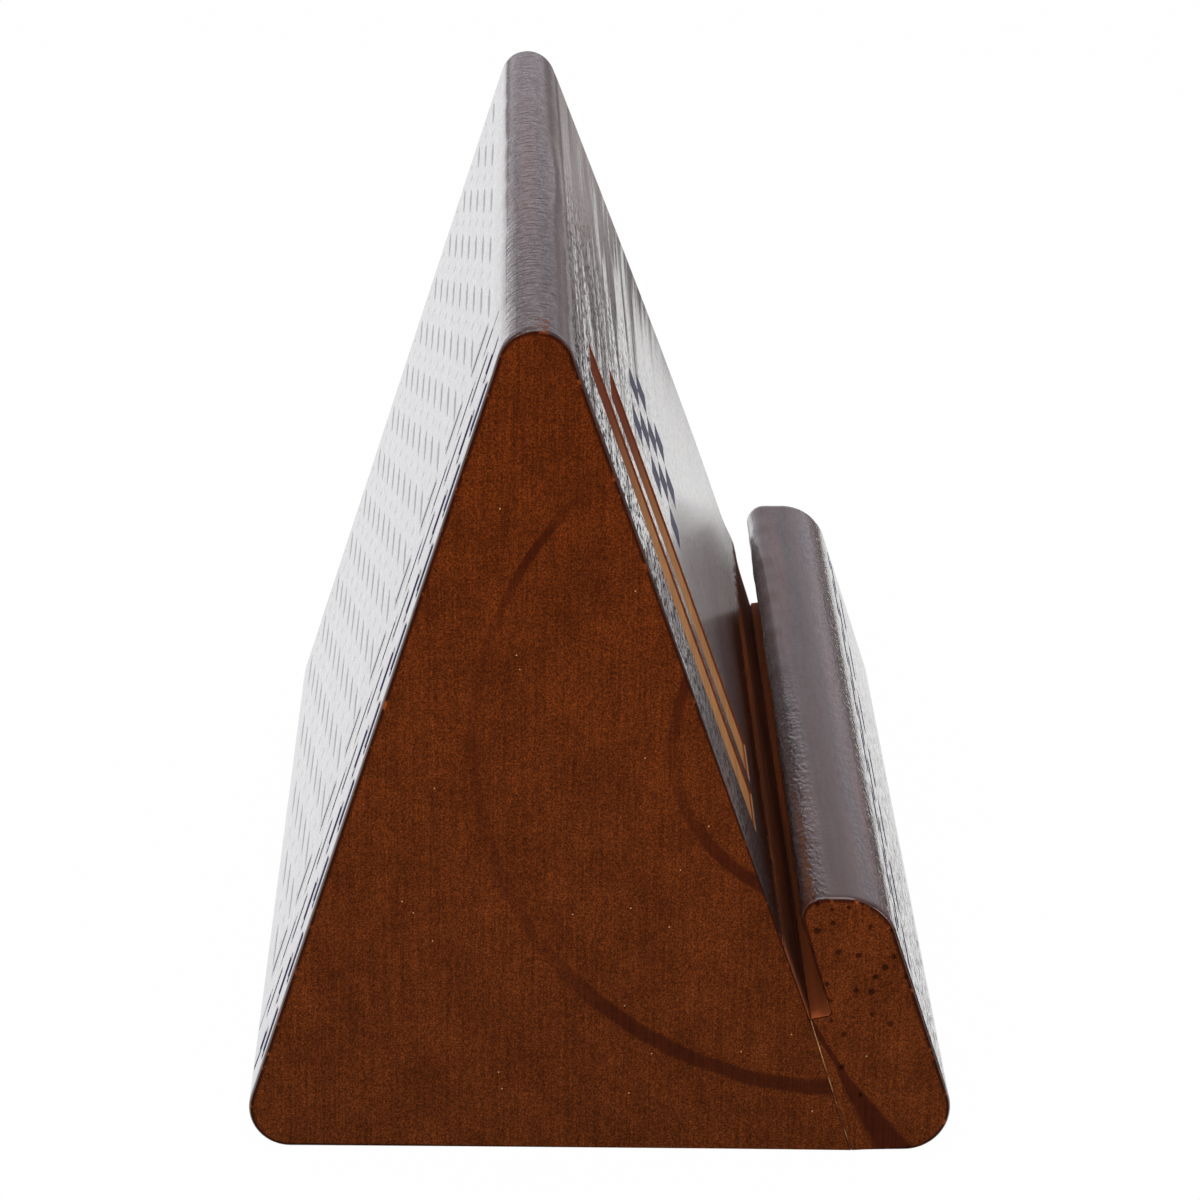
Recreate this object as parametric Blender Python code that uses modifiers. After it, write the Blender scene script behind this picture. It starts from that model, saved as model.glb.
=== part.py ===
"""Wooden menu holder for a desk or table: a leaning wedge block with a rebated rail glued along its front foot.

The rebate in the rail and the sloping front of the block leave a narrow slot, which grips the lower
edge of a menu card. Metres, +Z up: X runs from back to front and Y along the length, and the origin
is the middle of the base.
"""

import math

import bmesh
import bpy
from mathutils import Vector

# Overall sizes
LENGTH = 0.1100
DEPTH = 0.0598
HEIGHT = 0.0723

# Lean of the long faces, measured from the vertical
BACK_LEAN = math.radians(17.4)
SEAM_LEAN = math.radians(17.4)
RAIL_LEAN = math.radians(18.5)

# Rounding of the long edges, and of the edges round both ends
NOSE_RADIUS = 0.0032
BACK_FOOT_RADIUS = 0.0035
RAIL_FOOT_RADIUS = 0.0039
LIP_FRONT_RADIUS = 0.0048
LIP_BACK_RADIUS = 0.0018
END_ROUNDING = 0.0004

# Front rail and card slot
RAIL_HEIGHT = 0.02325
LIP_THICKNESS = 0.00735
SLOT_WIDTH = 0.0018
SLOT_FLOOR_HEIGHT = 0.0122
SLOT_FLOOR_RISE = math.radians(12)

# Glue line between the block and the rail
GLUE_THICKNESS = 0.0002
GLUE_CLEARANCE = 0.00005
GLUE_RECESS = 0.0003

# Fineness of the round stretches
ARC_STEP = math.radians(7.5)
END_ROUNDING_SEGMENTS = 2
WELD_DISTANCE = 0.000001
SMOOTH_ANGLE = math.radians(35)

# Stained wood under lacquer, and dried glue: colour, roughness
BLOCK_STAIN = ((0.102, 0.026, 0.008, 1), 0.35)
RAIL_STAIN = ((0.090, 0.021, 0.007, 1), 0.32)
DRIED_GLUE = ((0.420, 0.250, 0.120, 1), 0.60)


def foot_overhang(lean, radius):
    """How far the sharp corner of a leaning face and the base lies outside its rounded foot."""
    half_corner = (math.pi / 2 - lean) / 2
    return radius * (1 / math.tan(half_corner) - 1)


def back_face_x(z):
    """Place of the block's back face at height z."""
    return -DEPTH / 2 - foot_overhang(BACK_LEAN, BACK_FOOT_RADIUS) + z * math.tan(BACK_LEAN)


def lip_front_x(z):
    """Place of the rail's front face at height z."""
    return DEPTH / 2 + foot_overhang(RAIL_LEAN, RAIL_FOOT_RADIUS) - z * math.tan(RAIL_LEAN)


def lip_back_x(z):
    """Place of the lip's inner face, which is parallel to its front face, at height z."""
    return lip_front_x(z) - LIP_THICKNESS / math.cos(RAIL_LEAN)


def slot_corner():
    """Where the block's front face meets the slot's floor: one slot width behind the lip's inner face."""
    floor_end = SLOT_FLOOR_HEIGHT + SLOT_WIDTH * math.tan(SLOT_FLOOR_RISE)
    return Vector((lip_back_x(floor_end) - SLOT_WIDTH, SLOT_FLOOR_HEIGHT))


def seam_x(z, offset=0.0):
    """Place of the block's glued face at height z, or of a face parallel to it at this distance in front."""
    corner = slot_corner()
    return corner.x + (corner.y - z) * math.tan(SEAM_LEAN) + offset / math.cos(SEAM_LEAN)


def apex():
    """Sharp top corner of the block: its front face runs from the slot and touches the rounded nose."""
    corner = slot_corner()
    nose_z = HEIGHT - NOSE_RADIUS
    nose = Vector((back_face_x(nose_z) + NOSE_RADIUS / math.cos(BACK_LEAN), nose_z))
    to_nose = nose - corner
    front_lean = math.atan2(-to_nose.x, to_nose.y) - math.asin(NOSE_RADIUS / to_nose.length)
    front_foot = corner.x + corner.y * math.tan(front_lean)
    z = (front_foot - back_face_x(0)) / (math.tan(BACK_LEAN) + math.tan(front_lean))
    return Vector((back_face_x(z), z))


def rounded(corners):
    """Closed outline through (x, z, radius) corners, each rounded by an arc that touches both of its sides."""
    outline = []
    for index, (x, z, radius) in enumerate(corners):
        corner = Vector((x, z))
        if not radius:
            outline.append(corner)
            continue
        before = (Vector(corners[index - 1][:2]) - corner).normalized()
        after = (Vector(corners[(index + 1) % len(corners)][:2]) - corner).normalized()
        half_corner = before.angle(after) / 2
        centre = corner + (before + after).normalized() * radius / math.sin(half_corner)
        first = (corner + before * radius / math.tan(half_corner) - centre).normalized()
        last = (corner + after * radius / math.tan(half_corner) - centre).normalized()
        steps = math.ceil(first.angle(last) / ARC_STEP)
        outline.extend(centre + first.slerp(last, step / steps) * radius for step in range(steps + 1))
    return outline


def block_outline():
    corner = slot_corner()
    top = apex()
    return rounded(
        [
            (back_face_x(0), 0, BACK_FOOT_RADIUS),
            (seam_x(0), 0, 0),
            (corner.x, corner.y, 0),
            (top.x, top.y, NOSE_RADIUS),
        ]
    )


def rail_outline():
    joint = GLUE_THICKNESS + 2 * GLUE_CLEARANCE
    floor_back = SLOT_FLOOR_HEIGHT
    floor_front = floor_back + SLOT_WIDTH * math.tan(SLOT_FLOOR_RISE)
    return rounded(
        [
            (seam_x(0, joint), 0, 0),
            (lip_front_x(0), 0, RAIL_FOOT_RADIUS),
            (lip_front_x(RAIL_HEIGHT), RAIL_HEIGHT, LIP_FRONT_RADIUS),
            (lip_back_x(RAIL_HEIGHT), RAIL_HEIGHT, LIP_BACK_RADIUS),
            (lip_back_x(floor_front), floor_front, 0),
            (seam_x(floor_back, joint), floor_back, 0),
        ]
    )


def glue_outline():
    """A film that fills the joint from just above the base to just below the slot's floor."""
    bottom = GLUE_RECESS
    top = SLOT_FLOOR_HEIGHT - GLUE_RECESS
    back = GLUE_CLEARANCE
    front = GLUE_CLEARANCE + GLUE_THICKNESS
    return rounded(
        [
            (seam_x(bottom, back), bottom, 0),
            (seam_x(bottom, front), bottom, 0),
            (seam_x(top, front), top, 0),
            (seam_x(top, back), top, 0),
        ]
    )


def wood_material(name, colour, roughness):
    material = bpy.data.materials.new(name)
    material.use_nodes = True
    shader = material.node_tree.nodes["Principled BSDF"]
    shader.inputs["Base Color"].default_value = colour
    shader.inputs["Roughness"].default_value = roughness
    shader.inputs["Metallic"].default_value = 0.0
    return material


def extrusion(name, outline, length, material):
    """A solid of this section along Y, made from a filled curve that is then welded into one mesh."""
    curve = bpy.data.curves.new(name + "_section", "CURVE")
    curve.dimensions = "2D"
    curve.fill_mode = "BOTH"
    curve.extrude = length / 2
    spline = curve.splines.new("POLY")
    spline.points.add(len(outline) - 1)
    for point, place in zip(spline.points, outline):
        point.co = (place.x, place.y, 0, 1)
    spline.use_cyclic_u = True
    section = bpy.data.objects.new(name + "_section", curve)
    bpy.context.scene.collection.objects.link(section)
    section.rotation_euler.x = math.pi / 2
    bpy.context.view_layer.update()

    graph = bpy.context.evaluated_depsgraph_get()
    mesh = bpy.data.meshes.new_from_object(section.evaluated_get(graph))
    mesh.name = name
    solid = bpy.data.objects.new(name, mesh)
    solid.matrix_world = section.matrix_world
    bpy.data.objects.remove(section)
    weld = bmesh.new()
    weld.from_mesh(mesh)
    bmesh.ops.remove_doubles(weld, verts=weld.verts, dist=WELD_DISTANCE)
    bmesh.ops.recalc_face_normals(weld, faces=weld.faces)
    weld.to_mesh(mesh)
    weld.free()
    mesh.shade_smooth()
    mesh.set_sharp_from_angle(angle=SMOOTH_ANGLE)
    mesh.materials.append(material)
    return solid


def ease_ends(solid):
    """Round the edges of both end faces, and leave the long edges as the section has them."""
    mesh = solid.data
    ends = bmesh.new()
    ends.from_mesh(mesh)
    weight = ends.edges.layers.float.new("bevel_weight_edge")
    for edge in ends.edges:
        first, last = (vertex.co.z for vertex in edge.verts)
        on_one_end = abs(first - last) < WELD_DISTANCE
        edge[weight] = float(on_one_end and edge.calc_face_angle(0) > SMOOTH_ANGLE)
    ends.to_mesh(mesh)
    ends.free()
    bevel = solid.modifiers.new("end_rounding", "BEVEL")
    bevel.limit_method = "WEIGHT"
    bevel.width = END_ROUNDING
    bevel.segments = END_ROUNDING_SEGMENTS


def build_block():
    stain = wood_material("block_stained_wood", *BLOCK_STAIN)
    block = extrusion("wedge_block", block_outline(), LENGTH, stain)
    ease_ends(block)
    return block


def build_rail():
    stain = wood_material("rail_stained_wood", *RAIL_STAIN)
    rail = extrusion("front_rail", rail_outline(), LENGTH, stain)
    ease_ends(rail)
    return rail


def build_glue():
    glue = wood_material("dried_glue", *DRIED_GLUE)
    return extrusion("glue_film", glue_outline(), LENGTH - 2 * GLUE_RECESS, glue)


def clear_scene():
    for item in list(bpy.data.objects):
        bpy.data.objects.remove(item)


def main():
    clear_scene()
    collection = bpy.data.collections.new("menu_holder")
    bpy.context.scene.collection.children.link(collection)
    base = bpy.data.objects.new("menu_holder", None)
    collection.objects.link(base)
    for piece in (build_block(), build_rail(), build_glue()):
        collection.objects.link(piece)
        piece.parent = base


main()
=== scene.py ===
"""Looks of a wooden menu holder, laid out as a Blender add-on and run as a script.

A leaning wedge block and a rebated front rail of stained wood, glued together, stand on a white floor.
Every new piece is a section carried along the length, with its engraving worked out on the same grid.
"""

import math
from functools import partial

import bpy
import numpy as np
from mathutils import Matrix, Vector


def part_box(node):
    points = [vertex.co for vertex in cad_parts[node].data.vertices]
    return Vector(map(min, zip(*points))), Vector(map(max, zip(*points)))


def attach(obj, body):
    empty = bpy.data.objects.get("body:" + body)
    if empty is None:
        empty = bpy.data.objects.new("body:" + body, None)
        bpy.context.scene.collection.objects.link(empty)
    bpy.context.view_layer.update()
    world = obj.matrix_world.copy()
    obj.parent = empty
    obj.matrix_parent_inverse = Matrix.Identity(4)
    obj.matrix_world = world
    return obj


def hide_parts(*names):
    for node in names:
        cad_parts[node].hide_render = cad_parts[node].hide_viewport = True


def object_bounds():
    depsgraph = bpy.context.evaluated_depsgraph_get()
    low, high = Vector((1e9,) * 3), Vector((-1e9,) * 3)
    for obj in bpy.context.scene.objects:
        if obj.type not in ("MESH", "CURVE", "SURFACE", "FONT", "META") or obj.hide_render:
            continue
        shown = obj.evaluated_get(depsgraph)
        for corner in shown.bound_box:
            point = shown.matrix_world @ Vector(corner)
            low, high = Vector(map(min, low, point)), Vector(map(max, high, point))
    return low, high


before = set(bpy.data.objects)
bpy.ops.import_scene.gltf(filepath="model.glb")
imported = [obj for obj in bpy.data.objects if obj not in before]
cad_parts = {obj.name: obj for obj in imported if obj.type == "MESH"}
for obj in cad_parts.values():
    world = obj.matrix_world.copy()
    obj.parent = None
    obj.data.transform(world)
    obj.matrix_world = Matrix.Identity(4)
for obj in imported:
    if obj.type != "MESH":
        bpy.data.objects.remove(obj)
CAD_LOW, CAD_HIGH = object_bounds()
CAD_SIZE = CAD_HIGH - CAD_LOW
RAIL_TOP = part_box("front_rail")[1].z

bl_info = {
    "name": "Wooden menu holder",
    "version": (1, 0, 0),
    "blender": (4, 5, 0),
    "location": "View3D > Sidebar > Menu holder",
    "description": "Builds a stained wooden menu holder: an engraved block, a slotted rail and a stage",
    "category": "Add Mesh",
}

MM = 0.001

# Side of the picture in pixels, and of the camera's sensor in millimetres
FRAME_PIXELS = 1200
SENSOR_WIDTH = 36

# A corner that looks sharp still has this small rounding.
SHARP = 0.02 * MM

# Noise mostly lies between these two values.
NOISE = (0.3, 0.7)

# Roughness of the clear lacquer's coat
COAT_ROUGHNESS = 0.12

# Places of the materials in the lists of the block and the rail
LACQUER, END_GRAIN = 0, 1


def linear(hex_colour):
    """Linear colour of an sRGB hex value: each channel goes through the sRGB curve backwards."""
    channels = np.array([int(hex_colour[at : at + 2], 16) for at in (0, 2, 4)]) / 255
    straight = np.where(channels <= 0.04045, channels / 12.92, ((channels + 0.055) / 1.055) ** 2.4)
    return tuple(float(channel) for channel in straight)


def length(name, description, millimetres):
    """A length property, given in millimetres."""
    metres = millimetres * MM
    return bpy.props.FloatProperty(
        name=name, description=description, default=metres, subtype="DISTANCE", unit="LENGTH", precision=5
    )


def angle(name, description, degrees):
    """An angle property, given in degrees."""
    return bpy.props.FloatProperty(
        name=name, description=description, default=math.radians(degrees), subtype="ANGLE", unit="ROTATION"
    )


def colour(name, description, hex_colour):
    """A colour property, given as an sRGB hex value."""
    return bpy.props.FloatVectorProperty(
        name=name, description=description, default=linear(hex_colour), subtype="COLOR", size=3, min=0, max=1
    )


class HolderSizes(bpy.types.PropertyGroup):
    """Section and length of the block, the rail and the glue line."""

    length: length("Length", "Length of the holder along Y", CAD_SIZE.y / MM)
    depth: length("Depth", "Depth over the two rounded feet", CAD_SIZE.x / MM)
    height: length("Height", "Height to the top of the nose", CAD_SIZE.z / MM)
    back_lean: angle("Back lean", "Lean of the back face from the vertical", 17.4)
    seam_lean: angle("Seam lean", "Lean of the glued face from the vertical", 17.4)
    rail_lean: angle("Rail lean", "Lean of the rail from the vertical", 18.5)
    nose_radius: length("Nose radius", "Rounding along the top of the block", 3.2)
    back_foot_radius: length("Back foot radius", "Rounding of the block's back foot", 3.5)
    rail_foot_radius: length("Rail foot radius", "Rounding of the rail's front foot", 3.9)
    lip_front_radius: length("Lip front radius", "Rounding of the lip's outer top edge", 4.8)
    lip_back_radius: length("Lip back radius", "Rounding of the lip's inner top edge", 1.8)
    end_rounding: length("End rounding", "Easing of the edges round both ends", 0.5)
    nose_wear: length("Nose wear", "Wood sanded off the front of the nose at the far end", 0.85)
    far_flare: length("Far flare", "How far the foot of the front face stands out at the far end", 0.34)
    lacquer_run: length("Lacquer run", "Thickness of the run of lacquer at the far end", 0.3)
    lip_skew: length("Lip skew", "How far the rail stands out at the far end", 0.5)
    rail_height: length("Rail height", "Height of the rail's lip", RAIL_TOP / MM)
    lip_thickness: length("Lip thickness", "Thickness of the lip in front of the slot", 7.35)
    slot_width: length("Slot width", "Width of the card slot at its floor", 1.8)
    slot_floor: length("Slot floor", "Height of the slot's floor at the block", 12.2)
    slot_rise: angle("Slot rise", "Slope of the slot's floor towards the lip", 12)
    glue_line: length("Glue line", "Width of the glue that shows in the seam", 0.08)


class HolderPattern(bpy.types.PropertyGroup):
    """Engraved strokes on the back, stripes and bars on the front, and pinstripes on the rail."""

    row_pitch: length("Row pitch", "Distance between rows of strokes down the back", 2.42)
    stroke_period: length("Stroke period", "Distance from one stroke to the next in a row", 18.5)
    stroke_length: length("Stroke length", "Length of one gouge stroke", 11.6)
    stroke_width: length("Stroke width", "Greatest width of a stroke", 1.0)
    dot_diameter: length("Dot diameter", "Width of the punched dots between strokes", 1.15)
    stroke_depth: length("Stroke depth", "Depth of the strokes and dots under the lacquer", 0.04)
    border_inset: length("Border inset", "Distance of the first dashes from the near end", 2.4)
    border_pitch: length("Border pitch", "Distance between the first two columns of dashes", 3.6)
    border_width: length("Border width", "Width of the widest dashes", 1.9)
    border_depth: length("Border depth", "Depth of the dashes", 0.16)
    dash_length: length("Dash length", "Length of a dash up the slope", 5.2)
    dash_period: length("Dash period", "Distance from one dash to the next in a column", 7.26)
    stripe_start: length("Stripe start", "Distance of the first stripe from the near end", 13.0)
    stripe_width: length("Stripe width", "Width of each bare stripe on the front", 9.4)
    stripe_gap: length("Stripe gap", "Gap between the two stripes", 3.0)
    stripe_depth: length("Stripe depth", "Depth of the engraved stripes", 0.16)
    bar_start: length("Bar start", "Distance of the first blue bar from the near end", 41.0)
    bar_length: length("Bar length", "Length of a blue bar", 6.2)
    bar_height: length("Bar height", "Height of a blue bar up the slope", 2.6)
    pinstripe_width: length("Pinstripe width", "Width of the pinstripes on the rail", 0.7)


class HolderFinish(bpy.types.PropertyGroup):
    """Colours of the stain, the bare wood, the paint and the glue."""

    end_stain: colour("End stain", "Stained end grain", "58260C")
    end_light: colour("End fibres", "Fibres that took less stain in the end grain", "813F1A")
    end_dark: colour("End rings", "Growth rings in the stained end grain", "3C1508")
    long_stain: colour("Long stain", "Stained long grain under lacquer", "4B2414")
    long_dark: colour("Long pores", "Dark streaks in the stained long grain", "2A120A")
    sawn_stain: colour("Sawn stain", "Stained wood left as sawn in the slot", "A5521F")
    bare_wood: colour("Bare wood", "Wood bared by the engraving", "AE7A48")
    scorched: colour("Scorched edge", "Burnt walls of the engraving", "713317")
    paint: colour("Paint", "Dark blue paint in the engraving", "24224A")
    glue: colour("Glue", "Dried glue in the seam", "C79A63")


class HolderStage(bpy.types.PropertyGroup):
    """Camera, floor and soft light."""

    focal_pixels: bpy.props.FloatProperty(
        name="Focal length", description="Focal length in pixels of the picture's frame", default=4700
    )
    camera_place: bpy.props.FloatVectorProperty(
        name="Camera place", description="Place of the camera", default=(-0.00845, -0.42023, 0.17267),
        subtype="XYZ", unit="LENGTH", size=3, precision=5
    )
    pitch: angle("Pitch", "Downward tilt of the camera", 18.635)
    yaw: angle("Yaw", "Turn of the camera towards +X", 1.218)
    roll: angle("Roll", "Roll of the camera", 0.893)
    floor_size: length("Floor size", "Side of the square floor", 6000)
    surround: colour("Surround", "Grey surround above the horizon", "B7B2B9")


def foot_overhang(lean, radius):
    """How far a leaning face meets the base outside its rounded foot: r (1 / tan(half corner) - 1)."""
    return radius * (1 / math.tan((math.pi / 2 - lean) / 2) - 1)


class Section:
    """Places in the cross section, worked out from the sizes."""

    def __init__(self, size):
        self.size = size
        self.back_foot = -size.depth / 2 - foot_overhang(size.back_lean, size.back_foot_radius)
        self.rail_foot = size.depth / 2 + foot_overhang(size.rail_lean, size.rail_foot_radius)
        self.floor_front = size.slot_floor + size.slot_width * math.tan(size.slot_rise)
        self.corner = (self.lip_back_x(self.floor_front) - size.slot_width, size.slot_floor)
        self.apex = self.find_apex()

    def back_x(self, z):
        return self.back_foot + z * math.tan(self.size.back_lean)

    def lip_front_x(self, z):
        return self.rail_foot - z * math.tan(self.size.rail_lean)

    def lip_back_x(self, z):
        return self.lip_front_x(z) - self.size.lip_thickness / math.cos(self.size.rail_lean)

    def seam_x(self, z, offset=0.0):
        lean = self.size.seam_lean
        return self.corner[0] + (self.corner[1] - z) * math.tan(lean) + offset / math.cos(lean)

    def find_apex(self):
        """Sharp top corner: the front face runs from the slot's corner and touches the nose circle.

        Its lean is the angle of the line to the circle's centre less asin(r / distance).
        """
        radius = self.size.nose_radius
        nose_z = self.size.height - radius
        nose_x = self.back_x(nose_z) + radius / math.cos(self.size.back_lean)
        over = self.corner[0] - nose_x
        above = nose_z - self.corner[1]
        lean = math.atan2(over, above) - math.asin(radius / math.hypot(over, above))
        front_foot = self.corner[0] + self.corner[1] * math.tan(lean)
        z = (front_foot - self.back_foot) / (math.tan(self.size.back_lean) + math.tan(lean))
        return (self.back_x(z), z)


def between(count):
    """Shares that cut a side into count equal parts, without its two ends."""
    return np.linspace(0, 1, count + 1)[1:-1]


def trace_section(corners, side_shares, arc_step=math.radians(6)):
    """Closed section outline, counterclockwise as seen from the near end.

    Each corner (x, z, radius) becomes an arc that touches both of its sides: its centre lies at
    corner - r (n0 + n1) / (1 + n0.n1), where n0 and n1 are the outward normals of the two sides, and its
    points are centre + r n for normals n turned evenly from n0 to n1. A hollow corner takes -r. The side
    after corner i is a straight line with points at side_shares[i] between its two arcs.
    Returns points, outward normals, run numbers (2 i for the arc at corner i, 2 i + 1 for the side after
    it), shares along the run, and the length of each side.
    """
    spots = np.array([corner[:2] for corner in corners])
    heading = np.roll(spots, -1, axis=0) - spots
    heading /= np.linalg.norm(heading, axis=1)[:, None]
    facing = np.stack([heading[:, 1], -heading[:, 0]], axis=1)
    arcs = []
    for index, corner in enumerate(corners):
        before = facing[index - 1]
        after = facing[index]
        turn = math.atan2(before[0] * after[1] - before[1] * after[0], before @ after)
        reach = math.copysign(corner[2], turn)
        centre = spots[index] - reach * (before + after) / (1 + before @ after)
        steps = max(2, math.ceil(abs(turn) / arc_step)) + 1
        bearing = math.atan2(before[1], before[0]) + turn * np.linspace(0, 1, steps)
        normal = np.stack([np.cos(bearing), np.sin(bearing)], axis=1)
        arcs.append((centre + reach * normal, normal))
    points, normals, runs, shares, lengths = [], [], [], [], []
    for index, (arc, normal) in enumerate(arcs):
        ahead = arcs[(index + 1) % len(arcs)][0][0]
        share = np.asarray(side_shares[index])
        points += [arc, arc[-1] + share[:, None] * (ahead - arc[-1])]
        normals += [normal, np.repeat(facing[index][None], len(share), axis=0)]
        runs += [np.full(len(arc), 2 * index), np.full(len(share), 2 * index + 1)]
        shares += [np.linspace(0, 1, len(arc)), share]
        lengths.append(float(np.linalg.norm(ahead - arc[-1])))
    return *(np.concatenate(part) for part in (points, normals, runs, shares)), lengths


def end_stations(inner, size, steps=5):
    """Places along Y, and how far the section draws in there.

    Towards each end the section draws in by r (1 - sin f) while y falls short of the end by r (1 - cos f),
    f from 0 to a quarter turn, which is a quarter circle. Between the ends lie the inner stations.
    """
    turn = np.linspace(0, math.pi / 2, steps)
    inset = size.end_rounding * (1 - np.sin(turn))
    short = size.end_rounding * (1 - np.cos(turn))
    half = size.length / 2
    inner = np.unique(np.round(inner, 6))
    inner = inner[np.abs(inner) < half - 1.6 * size.end_rounding]
    closest = 0.02 * MM
    inner = inner[np.append(True, np.diff(inner) > closest)]
    places = np.concatenate([-half + short, inner, half - short[::-1]])
    insets = np.concatenate([inset, np.zeros(len(inner)), inset[::-1]])
    return places, insets


def carried_grid(points, normals, ease, places, insets, size, relief):
    """Section carried along Y: point - normal (inset share x ease) + normal x relief, at each station."""
    drawn = (insets / size.end_rounding)[:, None] * ease[None, :]
    push = relief - drawn
    grid = np.empty(push.shape + (3,))
    grid[..., 0] = points[:, 0] + normals[:, 0] * push
    grid[..., 1] = places[:, None]
    grid[..., 2] = points[:, 1] + normals[:, 1] * push
    return grid


def place_object(name, data):
    """A new object with this data, in the scene."""
    made = bpy.data.objects.new(name, data)
    bpy.context.scene.collection.objects.link(made)
    return made


def grid_piece(name, grid, slots, end_slot, materials, marks):
    """Closed piece from a grid of stations by section points, with a flat face over each end.

    A quad joins each section point to its next neighbour and to the next station, in the order that turns
    its face outwards. slots gives the material of each quad, and marks are point attributes.
    """
    count, around = grid.shape[:2]
    index = np.arange(count * around).reshape(count, around)
    ahead = np.roll(index, -1, axis=1)
    quads = np.stack([index[:-1], index[1:], ahead[1:], ahead[:-1]], axis=-1).reshape(-1, 4)
    ends = [index[0].tolist(), index[-1, ::-1].tolist()]
    mesh = bpy.data.meshes.new(name)
    mesh.from_pydata(grid.reshape(-1, 3), [], quads.tolist() + ends)
    all_slots = np.append(slots.reshape(-1), [end_slot] * 2)
    mesh.polygons.foreach_set("material_index", all_slots.astype(np.int32))
    mesh.polygons.foreach_set("use_smooth", np.append(np.ones(len(quads), bool), [False] * 2))
    for material in materials:
        mesh.materials.append(material)
    for mark, values in marks.items():
        spread = np.broadcast_to(values, (count, around)).astype(np.float32)
        mesh.attributes.new(mark, "FLOAT", "POINT").data.foreach_set("value", spread.reshape(-1))
    mesh.update()
    if mesh.validate():
        raise RuntimeError(f"{name}: the grid made a faulty mesh")
    return place_object(name, mesh)


def waves(at, seed, spans, heights):
    """Gentle unevenness along a line: a sum of sines with spans and heights in mm and seeded phases."""
    phases = np.random.default_rng(seed).uniform(0, 2 * math.pi, len(spans))
    angles = 2 * math.pi * np.asarray(at)[..., None] / (np.array(spans) * MM) + phases
    return (np.sin(angles) * np.array(heights) * MM).sum(-1)


def rise(value, start, end):
    """Share that grows evenly from 0 at start to 1 at end, and stays level on either side."""
    return np.clip((value - start) / (end - start), 0, 1)


def bell(value, middle, width):
    """Bell curve that is 1 at the middle: exp(-((value - middle) / width)^2)."""
    return np.exp(-(((value - middle) / width) ** 2))


def quad_means(values):
    """Mean of a grid's values over the four corners of each quad."""
    ahead = np.roll(values, -1, axis=1)
    return (values[:-1] + values[1:] + ahead[:-1] + ahead[1:]) / 4


def stroke_relief(y, up, rows, pattern):
    """Strokes and dots on the back, at y along the length and up the slope, as shares of their depth.

    Row k has its strokes shifted by half a period when k is odd. A stroke is a V cut whose half width is
    w (1 - t^2)^(3/4) at t, from -1 to 1 along it. Midway between two strokes a dot dips as a parabola.
    """
    row = np.floor(up / pattern.row_pitch)
    across = np.abs(up - (row + 0.5) * pattern.row_pitch)
    period = pattern.stroke_period
    along = np.abs((y + (row % 2) * period / 2) % period - period / 2)
    share = np.clip(1 - (along / (pattern.stroke_length / 2)) ** 2, 0, 1) ** 0.75
    half = np.maximum(share * pattern.stroke_width / 2, 1e-9)
    cut = np.clip(1 - across / half, 0, 1) * share
    from_dot = np.hypot(period / 2 - along, across)
    dot = np.clip(1 - (from_dot / (pattern.dot_diameter / 2)) ** 2, 0, 1)
    there = (row >= 0) & (row < rows)
    return np.where(there, cut, 0), np.where(there, dot, 0)


def add(tree, kind, *inputs, named=None, stops=(), **settings):
    """Adds a shader node. Its kind may be followed by its operation, or by the data type of a mix.

    inputs go to the node's sockets in use, in order, and named ones to sockets by name. Each is a value, a
    socket to link from, or a node, which stands for its first output in use. stops are the places, colours
    and levels of a colour ramp: the lowest, the highest, then those between.
    """
    kind, *choice = kind.split()
    made = tree.nodes.new("ShaderNode" + kind)
    if choice:
        setattr(made, "data_type" if kind == "Mix" else "operation", choice[0])
    for option, value in settings.items():
        setattr(made, option, value)
    for index, (place, shade, level) in enumerate(stops):
        ramp = made.color_ramp.elements
        stop = ramp[index] if index < 2 else ramp.new(place)
        stop.position = place
        stop.color = rgba(shade, level)
    used = [socket for socket in made.inputs if socket.enabled]
    given = [(made.inputs[name], value) for name, value in (named or {}).items()]
    for socket, value in [*zip(used, inputs), *given]:
        if isinstance(value, bpy.types.Node):
            value = next(output for output in value.outputs if output.enabled)
        if isinstance(value, bpy.types.NodeSocket):
            tree.links.new(value, socket)
        else:
            socket.default_value = value
    return made


def blank_nodes(owner):
    """Empties the node tree of a material or a world, and returns the function that adds nodes to it."""
    owner.use_nodes = True
    owner.node_tree.nodes.clear()
    return partial(add, owner.node_tree)


def blank_material(name):
    """A material without nodes, the function that adds them, and the Object coordinates for its patterns."""
    material = bpy.data.materials.new(name)
    node = blank_nodes(material)
    return material, node, node("TexCoord").outputs["Object"]


def streaks(node, place, cell, *detail):
    """Noise drawn out to cells of these three sizes in millimetres, with its detail and roughness."""
    drawn_out = node("Mapping", place, named={"Scale": tuple(1000 / side for side in cell)})
    return node("TexNoise", drawn_out, 1.0, *detail)


def lay_skin(node, height, strength, depth, bumped=("Normal",), **sockets):
    """Ends a material: the surface shader with these sockets, over a bump of this height and depth."""
    bump = node("Bump", strength, depth, named={"Height": height})
    named = {socket.replace("_", " "): value for socket, value in sockets.items()}
    skin = node("BsdfPrincipled", named={**named, **dict.fromkeys(bumped, bump)})
    node("OutputMaterial", skin)


def rgba(shade, level=1.0):
    """A colour with its alpha, brightened or dimmed by a level."""
    return (shade[0] * level, shade[1] * level, shade[2] * level, 1.0)


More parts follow.
